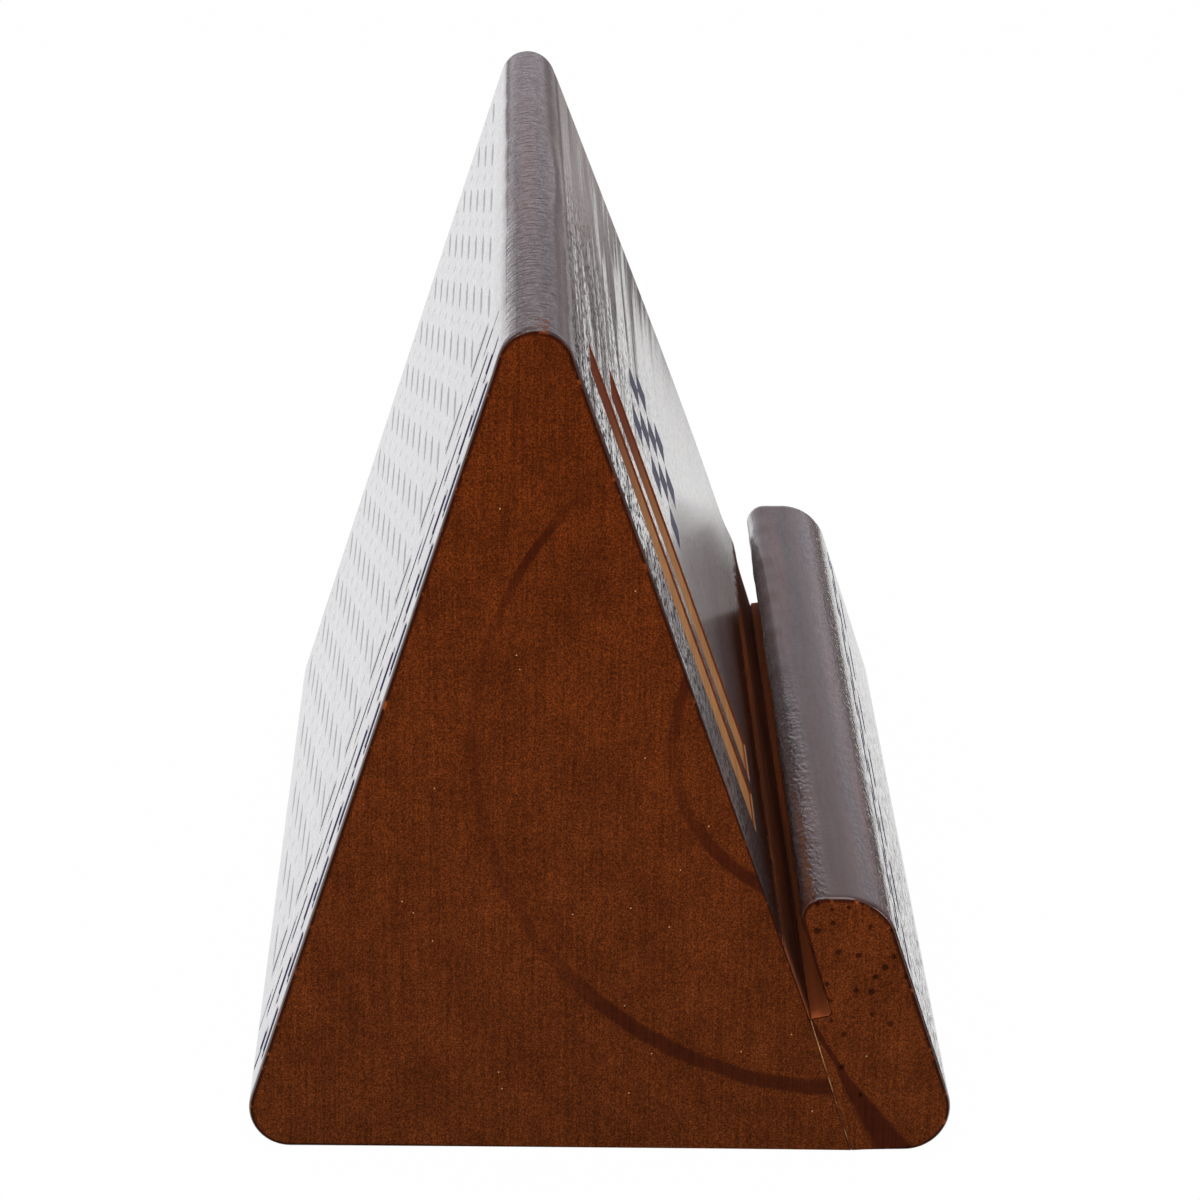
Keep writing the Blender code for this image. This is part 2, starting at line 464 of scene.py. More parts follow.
def end_grain(name, finish, rings, strength, faint_way, pores, level):
    """Rubberwood end grain, cross cut, sanded and stained, with the lacquer soaked in.

    It gives the eye a matt red brown with fine light and dark speckle from the cut fibres, upright saw
    lines, dark arcs where growth rings cross, which fade on one side of the pith, a rim painted dark as
    shade with small worn nicks, painted shade towards the foot, and on the rail a scatter of open pores.
    rings holds the place of the pith, the first ring's radius, the spacing and width of the rings, how many
    times wider they are at the foot and at a height, and that height. strength is how dark they are, and
    level how bright the face is: a painted light level, set apart for the block and the rail.
    """
    pith, first_radius, spacing, width, flare, thin, thin_height = rings
    material, node, place = blank_material(name)
    axes = node("SeparateXYZ", place).outputs
    up = axes["Z"]
    flat = node("CombineXYZ", axes["X"], up)
    # Cut fibres are drawn at 0.12 mm, so that they show as speckle.
    speckle = node("TexNoise", place, 1000 / 0.12, 2.0, 0.6)
    fibre = node("ValToRGB", speckle, stops=(
        (0.28, finish.end_stain, 0.3), (0.76, finish.end_light, 1), (0.5, finish.end_stain, 1)))
    # Stain soaked in by patches 6 mm wide and smaller, and the saw left upright lines.
    cloud = node("TexNoise", flat, 1000 / 6.0, 5.0, 0.78)
    shade = node("MapRange", cloud, *NOISE, 0.72, 1.28)
    saw = streaks(node, place, (0.16, 40, 6), 2.0)
    lines = node("MapRange", saw, *NOISE, 0.8, 1.2)
    # Painted shade: the face darkens towards its foot, to 0.88 of its level at the base, over the lowest 30
    # mm.
    foot = node("MapRange", up, 0.0, 30 * MM, 0.88 * level, level)
    # Growth rings: distance from the pith, bent by up to 1.2 mm, measured to the nearest ring.
    outward = node("VectorMath SUBTRACT", flat, (*pith, 0))
    from_pith = node("VectorMath LENGTH", outward)
    bend = node("TexNoise", flat, 1000 / 9.0, 3.0)
    bent = node("Math MULTIPLY_ADD", bend, 1.2 * MM, from_pith)
    turns = node("Math SUBTRACT", bent, first_radius + 0.6 * MM)
    turns = node("Math DIVIDE", turns, spacing)
    away = node("Math PINGPONG", turns, 0.5)
    widen = node("MapRange", up, 0.0, thin_height, flare, thin)
    away = node("Math DIVIDE", away, widen)
    ring = node("MapRange", away, 0.35 * width / spacing, 0.62 * width / spacing, 1.0, 0.0,
                interpolation_type="SMOOTHSTEP")
    # A ring fades on the faint side, and an outer ring over a wider angle than the first one.
    way = node("VectorMath NORMALIZE", outward)
    side = node("VectorMath DOT_PRODUCT", way, (*faint_way, 0))
    side = node("Math MULTIPLY_ADD", turns, 0.12, side)
    fade = node("MapRange", side, 0.88, 1.0, strength, 0.28)
    outer = node("MapRange", turns, 1.3, 1.8, 1.0, 0.4)
    below = node("MapRange", up, 55 * MM, 59 * MM, 1.0, 0.0)
    for factor in (fade, outer, below):
        ring = node("Math MULTIPLY", ring, factor)
    tone = node("Mix RGBA", ring, fibre, rgba(finish.end_dark))
    # The rounded rim is painted dark, a painted shade and dark reflection on its rounding, and has nicks
    # about 1 mm long that show light wood.
    rim = node("Attribute", attribute_name="rim").outputs["Fac"]
    nick = node("TexNoise", place, 1000 / 1.1, 3.0)
    edge = node("ValToRGB", nick, stops=(
        (0.6, finish.end_dark, 0.55), (0.72, finish.end_light, 1.5)))
    tone = node("Mix RGBA", rim, tone, edge)
    # Open pores are 0.3 to 0.6 mm wide and lie about 2 mm apart, most of them in the upper half.
    cell = node("TexVoronoi", flat, 1000 / 1.7, voronoi_dimensions="2D")
    chance = node("SeparateColor", cell.outputs["Color"]).outputs
    dense = node("MapRange", up, 9 * MM, 14 * MM, 0.08 * pores, pores)
    chosen = node("Math LESS_THAN", chance[0], dense)
    wide = node("MapRange", chance[1], 0.0, 1.0, 0.03, 0.105)
    wide = node("Math MULTIPLY_ADD", nick, 0.15, wide)
    pit = node("Math SUBTRACT", wide, cell)
    pit = node("MapRange", pit, -0.04, 0.05)
    pit = node("Math MULTIPLY", pit, chosen)
    open_pore = node("MapRange", pit, 0.0, 1.0, 1.0, 0.32)
    for factor in (lines, foot, open_pore):
        shade = node("Math MULTIPLY", shade, factor)
    body = node("VectorMath SCALE", tone, shade)
    # The stain is yellower at the foot and redder towards the top.
    higher = node("MapRange", up, 0.0, 60 * MM)
    hue = node("Mix RGBA", higher, (0.97, 1.1, 1.25, 1), (1.0, 0.93, 0.75, 1))
    body = node("VectorMath MULTIPLY", body, hue)
    # A few motes of pale dust, about 0.1 mm wide, have stuck in the stain.
    rare = node("Math LESS_THAN", chance[2], 0.03)
    small = node("Math LESS_THAN", cell, 0.035)
    mote = node("Math MULTIPLY", rare, small)
    body = node("Mix RGBA", mote, body, rgba(finish.glue))
    rough = node("MapRange", speckle, *NOISE, 0.5, 0.7)
    height = node("Math SUBTRACT", speckle, pit)
    lay_skin(node, height, 0.35, 0.05 * MM, Base_Color=body, Roughness=rough, Specular_IOR_Level=0.02)
    return material


def lacquered_grain(name, finish):
    """Rubberwood long grain, planed, stained dark and brushed with clear lacquer.

    It gives the eye a dark brown body under a glossy coat that mirrors the room at low angles, satin low on
    the front, broken by pits of open pores near the ends, raised grain along the length, cross ripples on
    the nose and orange peel on the rail's shoulder. In the slot the brush left no lacquer, and the wood
    shows dull red brown, as the saw cut it.
    """
    material, node, place = blank_material(name)
    raised, rippled, peeled, fine, bare, shade_wear, hazy = (
        node("Attribute", attribute_name=mark).outputs["Fac"]
        for mark in ("raised_grain", "cross_ripple", "orange_peel", "fine_grain", "dull", "painted_shade_and_wear", "satin")
    )
    # Orange peel cells are 0.34 mm across, cross ripples are wrinkles about 0.5 mm apart, grain lines are
    # 0.5 to 1.1 mm wide and up to 45 mm long, and pores are finer dashes, 2 mm long.
    peel = streaks(node, place, (0.34, 0.8, 0.34), 1.0)
    ripple = streaks(node, place, (1.3, 0.65, 1.3), 2.0)
    line = streaks(node, place, (1.1, 45, 1.1), 1.0, 0.45)
    pore = streaks(node, place, (0.3, 2.0, 0.3), 2.0)
    band = streaks(node, place, (3.2, 60, 3.2), 1.0)
    # The lacquer ends in a ragged line, where twice the bare share plus the peel pattern passes 1.4 to 1.6.
    dull = node("Math MULTIPLY_ADD", bare, 2.0, peel)
    dull = node("MapRange", dull, 1.4, 1.6)
    stain = node("ValToRGB", line, stops=((0.32, finish.long_dark, 1), (0.66, finish.long_stain, 1)))
    # Open pores pit the lacquer: they are dark and have no gloss.
    depth = node("MapRange", band, *NOISE, 0.72, 1.28)
    pit = node("MapRange", pore, 0.43, 0.5, fine, 0.0)
    open_pore = node("MapRange", pit, 0.0, 1.0, 1.0, 0.3)
    depth = node("Math MULTIPLY", depth, open_pore)
    body = node("VectorMath SCALE", stain, depth)
    # Deep in the slot painted shade darkens the wood to two thirds of its colour, and so does wear on the
    # nose where the lacquer flaked.
    sawn = node("ValToRGB", line, stops=(
        (0.3, finish.sawn_stain, 0.65), (0.7, finish.sawn_stain, 1.25)))
    shade_factor = node("MapRange", shade_wear, 0.0, 1.0, 1.0, 0.66)
    sawn = node("VectorMath SCALE", sawn, shade_factor)
    body = node("Mix RGBA", dull, body, sawn)
    rough = node("MapRange", pore, *NOISE, 0.2, 0.42)
    matt = node("Math MAXIMUM", dull, pit)
    rough = node("Mix FLOAT", matt, rough, 0.9)
    # Satin lacquer has a weaker coat, and a fine tooth about 0.1 mm across that blurs what it mirrors.
    veil = node("Math MULTIPLY", hazy, 0.4)
    matt = node("Math MAXIMUM", matt, veil)
    coat = node("Math SUBTRACT", 1.0, matt)
    tooth = node("TexNoise", place, 1000 / 0.1, 1.0)
    height = node("Math MULTIPLY_ADD", band, 3.4, line)
    height = node("Math MULTIPLY", height, raised)
    shallow = node("Math MULTIPLY", fine, 0.25)
    for pattern, share in ((pore, shallow), (ripple, rippled), (peel, peeled), (tooth, hazy)):
        height = node("Math MULTIPLY_ADD", pattern, share, height)
    lay_skin(node, height, 1.0, 0.08 * MM, ("Normal", "Coat Normal"), Base_Color=body, Roughness=rough,
             Specular_IOR_Level=0.4, Coat_Weight=coat, Coat_Roughness=COAT_ROUGHNESS)
    return material


def engraved_wood(name, finish):
    """Rubberwood bared by laser engraving: a dry, matt tan floor with raster lines and scorched walls."""
    material, node, place = blank_material(name)
    burnt = node("Attribute", attribute_name="scorch").outputs["Fac"]
    line = streaks(node, place, (0.3, 9, 0.3), 3.0)
    level = node("MapRange", line, *NOISE, 0.72, 1.2)
    edge = node("Math MULTIPLY_ADD", line, burnt, burnt)
    tone = node("ValToRGB", edge, stops=((0.25, finish.bare_wood, 1), (0.95, finish.scorched, 1)))
    body = node("VectorMath SCALE", tone, level)
    lay_skin(node, line, 0.5, 0.04 * MM, Base_Color=body, Roughness=0.85, Specular_IOR_Level=0.1)
    return material


def rubbed_paint(name, finish, lacquer):
    """Acrylic paint rubbed into the engraving: a dark blue, nearly matt film, worn thin in places.

    Under the lacquer, where that was brushed over it, the paint mirrors the room as the wood round it does.
    """
    material, node, place = blank_material(name)
    rub = streaks(node, place, (0.4, 3.5, 0.4), 3.0)
    tone = node("ValToRGB", rub, stops=((0.3, finish.paint, 0.6), (0.72, finish.paint, 1.5)))
    rough = node("MapRange", rub, *NOISE, 0.5, 0.8)
    lay_skin(node, rub, 0.4, 0.03 * MM, Base_Color=tone, Roughness=rough, Specular_IOR_Level=0.08,
             Coat_Weight=lacquer, Coat_Roughness=COAT_ROUGHNESS)
    return material


def dried_glue(name, finish, half):
    """Wood glue, squeezed out, wiped and dried: a pale line near the slot, stained brown lower down.

    half is half the holder's length.
    """
    material, node, place = blank_material(name)
    blob = node("TexNoise", place, 1000 / 1.3, 3.0)
    axes = node("SeparateXYZ", place).outputs
    bare = node("MapRange", axes["Z"], 5 * MM, 10 * MM, -0.14, 0.06)
    # Inside the slot, more than 1 mm from either end, the glue took the stain.
    along = node("Math ABSOLUTE", axes["Y"])
    inside = node("MapRange", along, half - 1.0 * MM, half - 0.4 * MM, -0.5, 0.0)
    for share in (blob, inside):
        bare = node("Math ADD", bare, share)
    tone = node("ValToRGB", bare, stops=((0.36, finish.end_stain, 1.3), (0.6, finish.glue, 1)))
    lay_skin(node, blob, 0.5, 0.05 * MM, Base_Color=tone, Roughness=0.55, Specular_IOR_Level=0.3)
    return material


def eased(runs, shares, values):
    """End easing at each section point: values gives it at each arc, and sides run evenly between arcs."""
    arcs = np.array(values, float)
    corner = runs // 2
    ahead = arcs[(corner + 1) % len(arcs)]
    along = arcs[corner] + (ahead - arcs[corner]) * shares
    return np.where(runs % 2 == 0, arcs[corner], along)


def rim_share(count):
    """Share of rim painted dark as shade at each station: the rounding's second and third station at both
    ends.
    """
    share = np.zeros((count, 1))
    share[[1, 2, -3, -2]] = 0.85
    return share


def settle(piece, node):
    """Puts a piece on the holder's one body, in place of its CAD node."""
    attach(piece, "root")
    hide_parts(node)


def build_wedge_block(scene):
    """Leaning block: its rounded section carried along Y, pushed in along its normals by the engraving."""
    size = scene.holder_sizes
    pattern = scene.holder_pattern
    finish = scene.holder_finish
    section = Section(size)
    half = size.length / 2
    corners = [
        (section.back_x(0), 0, size.back_foot_radius),
        (section.seam_x(0), 0, SHARP),
        (*section.corner, 2.0 * MM),
        (*section.apex, size.nose_radius),
    ]
    side_shares = [between(8)] * 4
    front, back = trace_section(corners, side_shares)[4][2:]

    # Rows of strokes on the back, counted up from the foot.
    margin = 1.6 * MM
    rows = int((back - 2 * margin) / pattern.row_pitch)
    cut = np.array([-0.575, -0.31, -0.155, 0, 0.155, 0.31, 0.575]) * MM
    row_edges = margin + np.arange(rows + 1) * pattern.row_pitch
    centres = margin + (np.arange(rows) + 0.5) * pattern.row_pitch
    back_up = np.concatenate([(centres[:, None] + cut).ravel(), row_edges])
    side_shares[3] = np.unique(np.round(1 - back_up / back, 7))

    # Stripes and bars on the front, measured up from the slot.
    stripe_low = 12.5 * MM
    bar_low = 30.0 * MM
    stripe_tops = (front - 5.2 * MM, front - 11.4 * MM)
    wall = 0.06 * MM
    scorch_width = 0.5 * MM
    bar_columns, bar_rows = 4, 5
    rims = np.array([-scorch_width, -wall, 0])
    stripe_ends = [stripe_low - rims, stripe_tops[0] + rims, stripe_tops[1] + rims]
    bar_ends = bar_low + np.arange(bar_rows + 1) * pattern.bar_height
    front_up = np.concatenate([np.linspace(0, front, 62)[1:-1], *stripe_ends, bar_ends])
    side_shares[2] = np.unique(np.round(front_up, 5)) / front
    points, normals, runs, shares = trace_section(corners, side_shares)[:4]

    # Stations along the length: columns of dashes, strokes and dots, stripes, bars, and an even spread.
    border = pattern.border_inset + np.array([0, 1, 2.4, 3.3, 4.9]) * pattern.border_pitch - half
    border_half = np.array([1, 1, 0.45, 0.45, 0.35]) * pattern.border_width / 2
    border_cut = border[:, None] + np.array([-1, -0.5, 0, 0.5, 1]) * border_half[:, None]
    field_start = border.max() + 1.5 * MM
    columns = np.arange(-6, 7) * pattern.stroke_period / 2
    columns = columns[columns > field_start]
    spread = np.array([0.22, 0.42, 0.575, 1.4, 2.4, 3.2, 3.8]) * MM
    spread = np.concatenate([[-4.625 * MM], -spread, [0], spread])
    stripe_starts = -half + pattern.stripe_start + np.array([0, pattern.stripe_width + pattern.stripe_gap])
    from_edge = np.array([0, wall, scorch_width])
    stripe_edges = np.concatenate([from_edge, pattern.stripe_width - from_edge])
    bar_edges = -half + pattern.bar_start + np.arange(bar_columns + 1) * pattern.bar_length
    inner = [columns[:, None] + spread, stripe_starts[:, None] + stripe_edges, border_cut]
    inner = [part.ravel() for part in inner] + [bar_edges, np.linspace(-half, half, 45)]
    places, insets = end_stations(np.concatenate(inner), size)

    y = places[:, None]
    from_near = y + half
    on_front, on_nose, on_back = ((runs == run)[None, :] for run in (5, 6, 7))
    up_front = (shares * front)[None, :]
    up_back = ((1 - shares) * back - margin)[None, :]
    field_high = back - 2 * margin
    field_end = half - 3 * MM
    fade = 0.8 * MM
    strokes, dots = stroke_relief(y, np.where(on_back, up_back, -1), rows, pattern)
    field = rise(y, field_start, field_start + fade) * rise(y, field_end, field_end - fade)
    strokes = strokes * field
    dots = dots * field

    # Dashes near the near end are V cuts up the slope, in columns that each start half a period on.
    inside = rise(up_back, -0.6 * MM, 0.4 * MM) * on_back
    inside = inside * rise(up_back, field_high + 0.6 * MM, field_high - 0.4 * MM)
    lines = np.zeros(strokes.shape)
    period = pattern.dash_period
    dash_end = pattern.dash_length / 2
    for column, (centre, reach) in enumerate(zip(border, border_half)):
        along = np.abs((up_back + column * period / 2) % period - period / 2)
        dash = rise(along, dash_end, dash_end - 0.7 * MM) * inside
        lines = np.maximum(lines, np.clip(1 - np.abs(y - centre) / reach, 0, 1) * dash)

    # A stripe is sunk where y and the height on the front lie inside it, with walls one step wide. It is
    # scorched along its walls, and more and more over its upper part.
    sunk = np.zeros(strokes.shape)
    scorch = np.zeros(strokes.shape)
    for start, top in zip(stripe_starts, stripe_tops):
        from_side = np.minimum(y - start, start + pattern.stripe_width - y)
        from_wall = np.minimum(from_side, np.minimum(up_front - stripe_low, top - up_front))
        sunk = np.maximum(sunk, np.clip(from_wall / wall, 0, 1) * on_front)
        burnt = np.maximum(1 - from_wall / scorch_width, (up_front - top + 22 * MM) / (26 * MM))
        scorch = np.maximum(scorch, np.clip(burnt, 0, 1) * (from_wall > 0) * on_front)

    # The nose is sanded by hand: a low swell on its front shoulder, and slight unevenness along it.
    swell = 0.4 * MM * bell(y, 3 * MM, 13 * MM) * bell(shares, 0.2, 0.16) * on_nose
    uneven = waves(y, 11, (31, 17, 9), (0.02, 0.014, 0.008))
    # Towards the far end more was sanded off the nose's front, and down the front face by its square.
    worn = (0.5 + 0.5 * np.cos(math.pi * shares)) * on_nose + shares**2 * on_front
    worn = worn * from_near / size.length
    # At the far end the foot of the front face flares out, and a run of lacquer has dried on it.
    flare = 6.75 * shares * (1 - shares) ** 2 * on_front * rise(y, 28 * MM, 55 * MM) ** 2
    drip = bell(shares, 0.115, 0.03) * on_front * rise(y, 12 * MM, 48 * MM) ** 2
    relief = swell + uneven * on_nose - size.nose_wear * worn
    relief = relief + size.far_flare * flare + size.lacquer_run * drip
    relief = relief - pattern.stroke_depth * (strokes + dots) - pattern.border_depth * lines
    relief = relief - pattern.stripe_depth * sunk

    ease = eased(runs, shares, [size.end_rounding, 0.05 * MM, 0.2 * MM, size.end_rounding])
    ease = np.where(runs == 3, 0.03 * MM, ease)
    grid = carried_grid(points, normals, ease, places, insets, size, relief)

    # The strokes hold paint under thin lacquer, and the dashes bare paint. The sanded rims show end grain.
    bared, open_paint, lacquered_paint, thin_paint = range(2, 6)
    slots = np.full((len(places) - 1, len(points)), LACQUER)
    slots[quad_means(sunk) > 0.2] = bared
    slots[quad_means(strokes) > 0.25] = lacquered_paint
    slots[quad_means(lines) > 0.2] = open_paint
    slots[[0, 1, -2, -1]] = END_GRAIN
    mid_y = (places[:-1, None] + places[1:, None]) / 2
    mid_up = quad_means(np.broadcast_to(up_front, strokes.shape))
    column = np.floor((mid_y + half - pattern.bar_start) / pattern.bar_length)
    row = np.floor((mid_up - bar_low) / pattern.bar_height)
    barred = (column >= 0) & (column < bar_columns) & (row >= 0) & (row < bar_rows)
    barred &= (column + row) % 2 == 0
    slots[barred & (quad_means(on_front * np.ones(strokes.shape)) > 0.9)] = thin_paint

    # Grain stands up most on the upper front, and the nose is brushed crosswise but for its two edges.
    flat_end = rise(np.abs(y), half, half - fade)
    upper = rise(shares, 0.5, 0.8)[None, :]
    grain = np.where(on_front, 0.15 + (1.5 + 0.7 * y / half) * upper, np.where(on_nose, 0.1, 0.3))
    brushed = rise(shares, 0.2, 0.35) * rise(shares, 0.85, 0.7) * on_nose
    ripple = np.clip(2.7 - 1.5 * y / half, 1.2, 4.2) * brushed
    fine = np.maximum(rise(from_near, 30 * MM, 12 * MM), 0.6 * upper * rise(from_near, 80 * MM, 50 * MM))
    fine = on_front * (0.1 + 0.85 * fine) + 0.02
    # The lacquer is satin low on the front, up to a line that falls towards the far end, and by the nose.
    satin_top = np.minimum(0.55, 0.62 - 0.36 * (from_near - 40 * MM) / (58 * MM))
    satin = 0.75 * on_front * rise(shares, satin_top, satin_top - 0.15)
    satin = satin + (0.45 - 0.3 * y / half) * on_nose * rise(shares, 0.2, 0.1)
    # The slot is bare wood, with painted shade darkening it towards both ends.
    slot_dull = np.where(on_front, rise(up_front, 11 * MM, 4 * MM), (runs > 2) * (runs < 5))
    slot_shade = rise(from_near, 14 * MM, 6 * MM) + 1.5 * rise(from_near, 80 * MM, 100 * MM)
    # The lacquer has flaked off the top of the nose, close to the near end.
    flaked = on_nose * bell(shares, 0.42, 0.15) * rise(from_near, 9 * MM, 3 * MM)
    marks = {
        "raised_grain": grain * flat_end,
        "cross_ripple": ripple * flat_end,
        "orange_peel": 0.0,
        "fine_grain": fine * flat_end,
        "painted_shade_and_wear": np.clip((slot_dull > 0) * slot_shade + 1.4 * flaked, 0, 1.5),
        "satin": satin,
        "dull": slot_dull + 0.5 * flaked,
        "scorch": scorch,
        "rim": rim_share(len(places)),
    }
    rings = ((20 * MM, 37 * MM), 14.4 * MM, 16.6 * MM, 1.3 * MM, 1.15, 0.6, 50 * MM)
    materials = [
        lacquered_grain("lacquered_rubberwood_block", finish),
        end_grain("sanded_end_grain_block", finish, rings, 0.82, (-0.985, -0.17), 0.0, 1.0),
        engraved_wood("laser_engraved_rubberwood", finish),
        rubbed_paint("rubbed_blue_acrylic", finish, 0.0),
        rubbed_paint("lacquered_blue_acrylic", finish, 0.7),
        rubbed_paint("thin_blue_acrylic", finish, 0.12),
    ]
    piece = grid_piece("engraved_block", grid, slots, END_GRAIN, materials, marks)
    settle(piece, "wedge_block")


class MENUHOLDER_OT_wedge_block(bpy.types.Operator):
    """Builds the leaning block with its engraved back and front"""

    bl_idname = "menu_holder.wedge_block"
    bl_label = "Wedge block"

    def execute(self, context):
        build_wedge_block(context.scene)
        return {"FINISHED"}


def build_front_rail(scene):
    """Rebated rail: its rounded section carried along Y, with pinstripes pushed in, and set askew."""
    size = scene.holder_sizes
    pattern = scene.holder_pattern
    finish = scene.holder_finish
    section = Section(size)
    half = size.length / 2
    high = size.rail_height
    floor_front = section.floor_front
    corners = [
        (section.seam_x(0, size.glue_line), 0, SHARP),
        (section.lip_front_x(0), 0, size.rail_foot_radius),
        (section.lip_front_x(high), high, size.lip_front_radius),
        (section.lip_back_x(high), high, size.lip_back_radius),
        (section.lip_back_x(floor_front), floor_front, 0.3 * MM),
        (section.seam_x(size.slot_floor, size.glue_line), size.slot_floor, 0.1 * MM),
    ]
    side_shares = [between(8)] * 6
    face = trace_section(corners, side_shares)[4][1]

    # Three pinstripes run along the face, at these distances under its top.
    stripe_up = face - np.array([1.2, 2.3, 4.8]) * MM
    half_line = pattern.pinstripe_width / 2
    cut = np.array([-1, -0.5, 0, 0.5, 1]) * half_line
    side_shares[1] = np.unique(np.concatenate([between(15), (stripe_up[:, None] + cut).ravel() / face]))
    side_shares[2] = between(13)
    side_shares[3] = between(15)
    points, normals, runs, shares = trace_section(corners, side_shares, math.radians(5))[:4]

    places, insets = end_stations(np.linspace(-half, half, 221), size)
    y = places[:, None]
    from_near = y + half
    on_runs = [(runs == run)[None, :] for run in range(3, 8)]
    on_face, on_lip_front, on_lip_top, on_lip_back, on_inside = on_runs
    in_slot = (runs > 7)[None, :]
    up_face = (shares * face)[None, :]
    groove = np.zeros((len(places), len(points)))
    period = 15 * MM
    deep = 0.18 * MM
    for row, up in enumerate(stripe_up):
        line = np.clip(1 - np.abs(up_face - up) / half_line, 0, 1) * on_face
        along = np.abs((y + row * period / 3) % period - period / 2)
        groove = np.maximum(groove, line * rise(along, 6 * MM, 5 * MM))
    groove = groove * rise(np.abs(y), half - 3 * MM, half - 3.6 * MM)

    # The lip's inner shoulder wanders a little, where it was shaped by hand.
    wander = waves(y, 5, (26, 11, 5.5), (0.03, 0.018, 0.012))
    uneven = waves(y, 8, (37, 15), (0.015, 0.01))
    relief = wander * (on_lip_back + on_inside * rise(shares, 0.5, 0.0))
    relief = relief + uneven * on_lip_top - deep * groove

    rim = size.end_rounding
    ease = eased(runs, shares, [0.05 * MM, rim, rim, rim, 0.15 * MM, 0.05 * MM])
    ease = np.where(runs == 11, 0.03 * MM, ease)
    grid = carried_grid(points, normals, ease, places, insets, size, relief)

    # The rail was glued on a little askew: all but its seam stands out more towards the far end.
    loose = np.where(runs == 1, shares, np.where(runs == 9, 1 - shares, 1.0)) * (runs > 0) * (runs < 10)
    grid[..., 0] += size.lip_skew * loose * from_near / size.length

    painted = 2
    slots = np.full((len(places) - 1, len(points)), LACQUER)
    slots[quad_means(groove) > 0.2] = painted
    slots[[0, 1, -2, -1]] = END_GRAIN

    # Orange peel lies along the inner shoulder, over the near half of the rail, and the slot is left dull.
    flat_end = rise(np.abs(y), half, half - 0.8 * MM)
    peel = on_lip_back * np.clip(1.3 - shares * 1.5, 0, 1) + on_lip_top * np.clip(shares * 3 - 1.7, 0, 1)
    rounded = on_lip_front * np.clip(2.4 - shares * 3, 0, 1) + on_face
    outer = on_lip_front * np.clip(1 - shares * 1.6, 0, 1) + on_face
    # Painted shade darkens the slot from 10 mm past the near end onwards, and half as much within 5 mm of
    # it.
    slot_shade = rise(from_near, 10 * MM, 25 * MM) + 0.5 * rise(from_near, 5 * MM, 2 * MM)
    marks = {
        "raised_grain": (0.08 + (1.9 - 0.7 * y / half) * outer) * flat_end,
        "cross_ripple": 0.12 * on_lip_top * flat_end,
        "orange_peel": (2.0 * peel * rise(y, 8 * MM, -12 * MM) + rounded) * flat_end,
        "fine_grain": (0.015 + (0.4 - 0.3 * y / half) * outer) * flat_end,
        "satin": 0.0,
        "dull": on_inside * rise(shares, 0.6, 1.1) + in_slot,
        "painted_shade_and_wear": in_slot * slot_shade,
        "rim": rim_share(len(places)),
    }
    rings = ((189.1 * MM, 114.5 * MM), 199.75 * MM, 60 * MM, 0.75 * MM, 3.8, 0.6, 8 * MM)
    materials = [
        lacquered_grain("lacquered_rubberwood_rail", finish),
        end_grain("sanded_end_grain_rail", finish, rings, 0.95, (1, 0), 0.75, 1.07),
        rubbed_paint("rubbed_blue_acrylic_rail", finish, 0.0),
    ]
    piece = grid_piece("slotted_rail", grid, slots, END_GRAIN, materials, marks)
    settle(piece, "front_rail")


class MENUHOLDER_OT_front_rail(bpy.types.Operator):
    """Builds the rebated rail that holds the card against the block"""

    bl_idname = "menu_holder.front_rail"
    bl_label = "Front rail"

    def execute(self, context):
        build_front_rail(context.scene)
        return {"FINISHED"}


def build_glue_line(scene):
    """Film of dried glue: a thin leaning strip carried along Y, from the base to just under the slot."""
    size = scene.holder_sizes
    finish = scene.holder_finish
    section = Section(size)
    half = size.length / 2
    low = 0.03 * MM
    high = size.slot_floor - 0.2 * MM
    corners = [
        (section.seam_x(low), low, SHARP),
        (section.seam_x(low, size.glue_line), low, SHARP),
        (section.seam_x(high, size.glue_line), high, SHARP),
        (section.seam_x(high), high, SHARP),
    ]
    points, normals = trace_section(corners, [between(2), between(59)] * 2, math.radians(45))[:2]
    places, insets = end_stations(np.linspace(-half, half, 41), size, 2)
    ease = np.zeros(len(points))
    grid = carried_grid(points, normals, ease, places, insets, size, np.zeros((len(places), 1)))

    # The film ends a little behind the end faces, by an amount that wanders up the seam.
    hollow = 0.03 * MM + np.abs(waves(grid[..., 2], 3, (4.1, 1.7, 0.8), (0.03, 0.02, 0.015)))
    grid[..., 1] -= np.sign(grid[..., 1]) * hollow
    slots = np.zeros((len(places) - 1, len(points)), int)
    piece = grid_piece("glue_line", grid, slots, 0, [dried_glue("dried_wood_glue", finish, half)], {})
    settle(piece, "glue_film")


class MENUHOLDER_OT_glue_line(bpy.types.Operator):
    """Builds the film of dried glue between the block and the rail"""

    bl_idname = "menu_holder.glue_line"
    bl_label = "Glue line"

    def execute(self, context):
        build_glue_line(context.scene)
        return {"FINISHED"}


